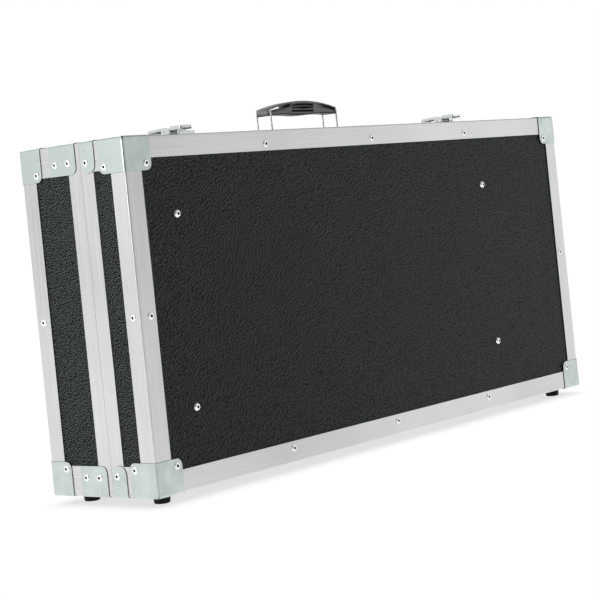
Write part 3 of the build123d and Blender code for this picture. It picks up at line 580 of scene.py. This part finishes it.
def bright_steel(name, light, gloss, hole):
    finish, tree, shader, place = new_finish(name)
    inside = added(tree, "ShaderNodeAttribute", {}, attribute_name="hollow").outputs["Fac"]
    rub = noise(tree, place, scale=1200.0, detail=3.0, rough=0.6)
    rub_share, middle_tone, wear = 0.3, 0.7, 0.9
    rubbed = reckon(tree, "MULTIPLY_ADD", rub, rub_share, middle_tone)
    # Painted shade: inside the hollow the tone falls to the hole colour.
    tone = reckon(tree, "SUBTRACT", rubbed, inside)
    worn = tuple(wear * channel for channel in light)
    dull, bright = gloss + 0.08, gloss - 0.04
    looks = {"Base Color": shades(tree, tone, (0.0, hole), (0.75, worn), (1.0, light)), "Metallic": 0.8}
    looks["Roughness"] = ranged(tree, rub, low=0.3, high=0.7, to_low=dull, to_high=bright)
    dressed(tree, shader, rub, looks, relief=0.00002)
    return finish


case_middle = (cad_low + cad_high) / 2
rivet_sizes = {"Head Radius": 0.00475, "Head Height": 0.0015, "Segments": 28, "Socket Sides": 28}
rivet_sizes["Spin Seed"] = 3
rivet_profile = [(1.0, 0.0), (1.0, 0.2), (0.96, 0.34), (0.85, 0.66), (0.66, 0.93), (0.52, 1.0)]
rivet_profile += [(0.44, 0.97), (0.40, 0.85), (0.39, 0.15), (0.0, 0.1)]
hollow_from = 7
rivet_tree = head_tree("blind_rivet_heads", rivet_profile, hollow_from)
# The hole colour is painted shade for the inside of the hollow.
rivet_light, rivet_hollow_shade = (0.86, 0.865, 0.86), (0.004, 0.004, 0.004)
rivet_steel = bright_steel("bright_rivet_steel", rivet_light, 0.34, rivet_hollow_shade)
for half, seed in (("base", 3), ("lid", 8)):
    values = {**rivet_sizes, "Spin Seed": seed, "Finish": rivet_steel}
    places = head_places(half + "_rivets")
    heads = set_heads(half + "_rivet_heads", rivet_tree, places, half, values)
    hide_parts(half + "_rivets")


# Dimples: small round stops in line with the rivets of the closing brackets. They are of the same zinc
# plated sheet, pressed out from behind.
dimple_radius, dimple_height, from_rivet = 0.0021, 0.0009, 0.0155
dimple_profile = [(1.0, 0.0), (0.93, 0.25), (0.78, 0.6), (0.55, 0.87), (0.28, 0.98), (0.0, 1.0)]
dimple_tree = head_tree("bracket_dimples", dimple_profile, len(dimple_profile))
dimple_values = {"Head Radius": dimple_radius, "Head Height": dimple_height, "Segments": 20}
dimple_values.update({"Socket Sides": 20, "Spin Seed": 1, "Finish": zinc})
bracket_leg, row_reach, end_reach = 0.04, 0.02, 0.001
for half in ("base", "lid"):
    dimples = []
    low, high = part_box(half + "_closing_brackets")
    row = low.y if half == "base" else high.y
    for foot, facing, radius, tall in head_places(half + "_rivets"):
        on_end = facing.x != 0 and abs(foot.x) > high.x - end_reach
        on_top = facing.z != 0 and abs(foot.x) > high.x - bracket_leg
        in_row = low.y < foot.y < high.y and abs(foot.y - row) < row_reach
        if not (in_row and (on_end or on_top)):
            continue
        spot = foot.copy()
        if on_end:
            spot.z += from_rivet if foot.z > case_middle.z else -from_rivet
        else:
            spot.x += from_rivet if foot.x > 0 else -from_rivet
        dimples.append((spot, facing, dimple_radius, dimple_height))
    set_heads(half + "_dimples", dimple_tree, dimples, half, dimple_values)


# Bolts through the lid's face: button heads with a six-sided socket outside. Inside, each is held by
# a washer and a hexagon standoff, whose own threaded stud takes what is bolted into the lid.
def on_axis(low, high, depth):
    return Vector(((low.x + high.x) / 2, depth, (low.z + high.z) / 2))


def handed_in(name, whole, finish, body, crease=None):
    mesh = bpy.data.meshes.new(name)
    whole.to_mesh(mesh)
    whole.free()
    mesh.materials.clear()
    mesh.materials.append(finish)
    if crease:
        smoothed(mesh, crease)
    else:
        mesh.shade_smooth()
    piece = in_scene(name, mesh)
    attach(piece, body)
    return piece


def skin(whole, rings, closed):
    around = len(rings[0])
    for near, far in zip(rings, rings[1:] + (rings[:1] if closed else [])):
        for spot in range(around):
            after = (spot + 1) % around
            whole.faces.new((near[spot], near[after], far[after], far[spot]))
    if not closed:
        whole.faces.new(rings[0])
        whole.faces.new(rings[-1])


def turned(name, outline, places, body, finish, axis="Z", around=40, closed=True):
    whole = bmesh.new()
    for place in places:
        rings = []
        for radius, along in outline:
            ring = []
            for spot in range(around):
                turn = math.tau * spot / around
                side, front = radius * math.cos(turn), radius * math.sin(turn)
                offset = Vector((side, front, along)) if axis == "Z" else Vector((front, along, side))
                ring.append(whole.verts.new(place + offset))
            rings.append(ring)
        skin(whole, rings, closed)
    bmesh.ops.recalc_face_normals(whole, faces=whole.faces)
    return handed_in(name, whole, finish, body, crease=38)


def thread(radius, length, pitch):
    tip_share, root_share, end_share = 0.7, 0.86, 0.8
    outline = [(radius * tip_share, 0.0)]
    turns = int(length / pitch)
    for spot in range(turns):
        start = length * spot / turns
        for share, rise in ((root_share, 0.05), (1.0, 0.45), (1.0, 0.6)):
            outline.append((radius * share, start + rise * pitch))
    outline.append((radius * end_share, length))
    return outline


screw_dark, screw_light = (0.55, 0.57, 0.57), (0.72, 0.73, 0.73)
plated_screw = zinc_plate("plated_screw_steel", screw_dark, screw_light, gloss=0.3)
# The six-sided socket of each bolt head is painted near black, as shade.
bolt_light, bolt_socket_shade = (0.96, 0.965, 0.96), (0.008, 0.008, 0.008)
bolt_steel = bright_steel("bright_bolt_steel", bolt_light, 0.3, bolt_socket_shade)
bolt_profile = [(1.0, 0.0), (1.0, 0.12), (0.96, 0.34), (0.85, 0.64), (0.68, 0.88), (0.53, 1.0)]
bolt_profile += [(0.42, 1.0), (0.38, 0.92), (0.36, 0.3), (0.0, 0.24)]
bolt_tree = head_tree("button_bolt_heads", bolt_profile, hollow_from)
bolt_values = {"Head Radius": 0.00575, "Head Height": 0.0032, "Segments": 36, "Socket Sides": 6}
bolt_values.update({"Spin Seed": 5, "Finish": bolt_steel})
panel_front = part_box("lid_face_panel")[0].y
shank_gap = 0.0002
bolt_heads, shanks = [], []
for low, high in separate_pieces("panel_bolts"):
    foot = on_axis(low, high, panel_front)
    bolt_heads.append((foot, -back_way, bolt_values["Head Radius"], panel_front - low.y))
    shanks.append(on_axis(low, high, panel_front + shank_gap))
heads = set_heads("bolt_heads", bolt_tree, bolt_heads, "lid", bolt_values)
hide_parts("panel_bolts")

shank_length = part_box("panel_bolts")[1].y - panel_front - shank_gap
stud_length = 0.008
studs = [on_axis(low, high, high.y - stud_length) for low, high in separate_pieces("panel_standoffs")]
for name, places, radius, length, pitch in (
    ("bolt_shanks", shanks, 0.00298, shank_length, 0.001),
    ("stud_threads", studs, 0.00252, stud_length, 0.0008),
):
    outline = thread(radius, length, pitch)
    turned(name, outline, places, "lid", plated_screw, "Y", around=24, closed=False)
softened("panel_standoffs", "lid", plated_screw, pressed_rim)

washer_outline = [(0.0034, 0.0), (0.0087, 0.0), (0.009, 0.0003), (0.009, 0.0013)]
washer_outline += [(0.0087, 0.0016), (0.0034, 0.0016)]
washer_places = [on_axis(low, high, low.y) for low, high in separate_pieces("panel_washers")]
washers = turned("washers", washer_outline, washer_places, "lid", plated_screw, "Y")
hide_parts("panel_washers")


# Feet: short black rubber buffers under the four bottom corners, moulded with a hole up the middle.
# Each is held by one plated screw, whose head sits deep in that hole.
def moulded_rubber():
    finish, tree, shader, place = new_finish("black_rubber")
    dust = noise(tree, place, scale=160.0, detail=3.0, rough=0.6)
    dark, light = (0.004, 0.004, 0.004), (0.012, 0.012, 0.012)
    looks = {"Base Color": shades(tree, dust, (0.35, dark), (0.8, light)), "Specular IOR Level": 0.12}
    looks["Roughness"] = ranged(tree, dust, low=0.3, high=0.7, to_low=0.6, to_high=0.78)
    dressed(tree, shader, noise(tree, place, scale=1400.0), looks, relief=0.0001)
    return finish


rubber = moulded_rubber()
foot_outline = [(0.0024, 0.0127), (0.0119, 0.0127), (0.0125, 0.0122), (0.0124, 0.0108), (0.0121, 0.0105)]
foot_outline += [(0.0113, 0.0022), (0.011, 0.001), (0.0104, 0.0003), (0.0096, 0.0), (0.006, 0.0)]
foot_outline += [(0.0054, 0.0003), (0.0052, 0.0009), (0.0052, 0.005), (0.0024, 0.005)]
screw_outline = [(0.0001, 0.0105), (0.0022, 0.0105), (0.0022, 0.0052), (0.0044, 0.005), (0.0044, 0.0035)]
screw_outline += [(0.0038, 0.0026), (0.0026, 0.0024), (0.0012, 0.0024), (0.0011, 0.0038), (0.0001, 0.0038)]
for half in ("base", "lid"):
    spots = []
    for low, high in separate_pieces(half + "_feet"):
        spots.append(Vector(((low.x + high.x) / 2, (low.y + high.y) / 2, 0)))
    feet = turned(half + "_rubber_feet", foot_outline, spots, half, rubber)
    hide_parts(half + "_feet")
    screw_name = half + "_foot_screw_heads"
    screws = turned(screw_name, screw_outline, spots, half, plated_screw, around=24)
    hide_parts(half + "_foot_screws")


# Hinges: three strap hinges under the bottom, pressed from zinc plated steel sheet. Their leaves are
# rolled round a drawn pin and riveted to both halves.
for half in ("base", "lid"):
    softened(f"{half}_hinge_leaves", half, zinc, fine_rim)


# Pins of the hinges and of the latches: plated steel, cut from plain drawn wire and pushed through the
# rolled knuckles and the ears.
give(plated_screw, "hinge_pins", "latch_lever_pins", "latch_left_claw_pin", "latch_right_claw_pin")


# Draw latches: a base plate, a lever and a hooked claw on the base, and a keeper on the lid. They are
# pressed from steel sheet, bright nickel plated, and riveted to the top.
nickel_dark, nickel_light = (0.56, 0.595, 0.585), (0.76, 0.79, 0.78)
nickel = zinc_plate("nickel_plated_steel", nickel_dark, nickel_light, gloss=0.2)
for side in ("left", "right"):
    for part in ("lever", "claw"):
        moving = f"latch_{side}_{part}"
        softened(moving, moving, nickel, pressed_rim)
softened("latch_plates", "base", nickel, pressed_rim)
softened("latch_keepers", "lid", nickel, pressed_rim)


# Carrying handle: two bent wire rings in riveted clips, and a hard grip moulded in dark grey plastic
# with a finely textured skin. The three grooves of the grip are painted near black inside, as shade.
def moulded_plastic():
    finish, tree, shader, place = new_finish("dark_grey_plastic")
    skin_noise = noise(tree, place, scale=1100.0, detail=3.0, rough=0.6)
    skin_share, groove_shade_depth = 0.4, 2.0
    tone = reckon(tree, "MULTIPLY_ADD", skin_noise, skin_share, noise(tree, place, scale=30.0))
    low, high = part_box("handle_grip")
    apart = added(tree, "ShaderNodeSeparateXYZ", {0: place}).outputs
    groove_half_length, side_wall, groove_drop, groove_half_height = 0.0275, 0.0012, 0.0115, 0.0075
    sunk = 1.0
    for axis, middle, reach in (
        ("X", 0.0, groove_half_length),
        ("Y", (low.y + high.y) / 2, (high.y - low.y) / 2 - side_wall),
        ("Z", high.z - groove_drop, groove_half_height),
    ):
        aside = reckon(tree, "ABSOLUTE", reckon(tree, "SUBTRACT", apart[axis], middle))
        sunk = reckon(tree, "MULTIPLY", reckon(tree, "LESS_THAN", aside, reach), sunk)
    # Painted shade: inside the three grooves the tone falls to near black.
    tone = reckon(tree, "SUBTRACT", tone, reckon(tree, "MULTIPLY", sunk, groove_shade_depth))
    hollow, dark, light = (0.01, 0.01, 0.01), (0.135, 0.131, 0.128), (0.20, 0.194, 0.188)
    looks = {"Base Color": shades(tree, tone, (0.0, hollow), (0.4, dark), (0.95, light))}
    looks["Roughness"] = ranged(tree, skin_noise, low=0.3, high=0.7, to_low=0.36, to_high=0.5)
    dressed(tree, shader, skin_noise, looks, relief=0.00012)
    return finish


def bent_ring(name, radius, corner, finish):
    low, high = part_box(name)
    middle = (low + high) / 2
    half_wide = (high.y - low.y) / 2 - radius
    half_tall = (high.z - low.z) / 2 - radius
    steps_a_corner, around = 8, 16
    whole = bmesh.new()
    rings = []
    for wide, tall, start in ((1, 1, 0), (-1, 1, 90), (-1, -1, 180), (1, -1, 270)):
        centre = Vector((0, wide * (half_wide - corner), tall * (half_tall - corner)))
        for step in range(steps_a_corner + 1):
            bend = math.radians(start + step * 90 / steps_a_corner)
            out = Vector((0, math.cos(bend), math.sin(bend)))
            place = middle + centre + out * corner
            ring = []
            for spot in range(around):
                turn = math.tau * spot / around
                lift = out * (radius * math.cos(turn)) + Vector((radius * math.sin(turn), 0, 0))
                ring.append(whole.verts.new(place + lift))
            rings.append(ring)
    skin(whole, rings, True)
    bmesh.ops.recalc_face_normals(whole, faces=whole.faces)
    piece = handed_in(name + "_wire", whole, finish, name)
    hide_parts(name)


softened("handle_grip", "handle_grip", moulded_plastic())
wire_dark, wire_light = (0.36, 0.38, 0.38), (0.50, 0.525, 0.525)
wire = zinc_plate("zinc_plated_wire", wire_dark, wire_light, gloss=0.3)
wire_radius, wire_corner = 0.0013, 0.0018
for side in ("left", "right"):
    bent_ring(f"handle_{side}_ring", wire_radius, wire_corner, wire)
softened("handle_clips", "base", zinc, fine_rim)


# Lining: soft dark foam sheets glued to the inside walls, five in each half. The lid's face sheet
# has a round opening over each bolt.
def foam_skin():
    finish, tree, shader, place = new_finish("charcoal_foam")
    pores = added(tree, "ShaderNodeTexVoronoi", {"Vector": place, "Scale": 900.0}).outputs["Distance"]
    cloud = noise(tree, place, scale=20.0, detail=3.0)
    cloud_share = 0.5
    tone = reckon(tree, "MULTIPLY_ADD", cloud, cloud_share, pores)
    dark, light = (0.022, 0.022, 0.024), (0.07, 0.07, 0.075)
    looks = {"Base Color": shades(tree, tone, (0.2, dark), (1.0, light)), "Roughness": 0.95}
    looks.update({"Specular IOR Level": 0.15, "Sheen Weight": 0.25})
    dressed(tree, shader, pores, looks, relief=0.0004)
    return finish


def foam_sheets(half, openings):
    thick, soft_edge, opening_radius, opening_reach = 0.006, 0.0015, 0.013, 0.02
    outer_low, outer_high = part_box(f"{half}_lining")
    inner_low = outer_low + Vector((thick, thick if half == "lid" else 0, thick))
    inner_high = outer_high - Vector((thick, 0 if half == "lid" else thick, thick))
    face_ends = (outer_low.y, inner_low.y) if half == "lid" else (inner_high.y, outer_high.y)
    sheets = [((outer_low.x, outer_high.x), face_ends, (outer_low.z, outer_high.z))]
    for ends in ((outer_low.z, inner_low.z), (inner_high.z, outer_high.z)):
        sheets.append(((outer_low.x, outer_high.x), (inner_low.y, inner_high.y), ends))
    for ends in ((outer_low.x, inner_low.x), (inner_high.x, outer_high.x)):
        sheets.append((ends, (inner_low.y, inner_high.y), (inner_low.z, inner_high.z)))
    cut_sheets = []
    for sheet in sheets:
        low, high = (Vector([ends[side] for ends in sheet]) for side in (0, 1))
        cut_sheets.append(rounded_block("sheet", low, high, soft_edge, segments=3))
    if openings:
        face_sheet = in_scene("face_sheet", cut_sheets[0])
        bore = [(opening_radius, -opening_reach), (opening_radius, opening_reach)]
        cutter = turned("foam_cutter", bore, openings, half, foam, "Y", around=48, closed=False)
        cut(face_sheet, "DIFFERENCE", cutter)
        cut_sheets[0] = settled(face_sheet)
        bpy.data.objects.remove(face_sheet)
        bpy.data.objects.remove(cutter)
    whole = bmesh.new()
    for sheet in cut_sheets:
        whole.from_mesh(sheet)
        bpy.data.meshes.remove(sheet)
    piece = handed_in(f"{half}_foam", whole, foam, half, crease=50)
    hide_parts(f"{half}_lining")


foam = foam_skin()
foam_sheets("base", [])
foam_sheets("lid", shanks)
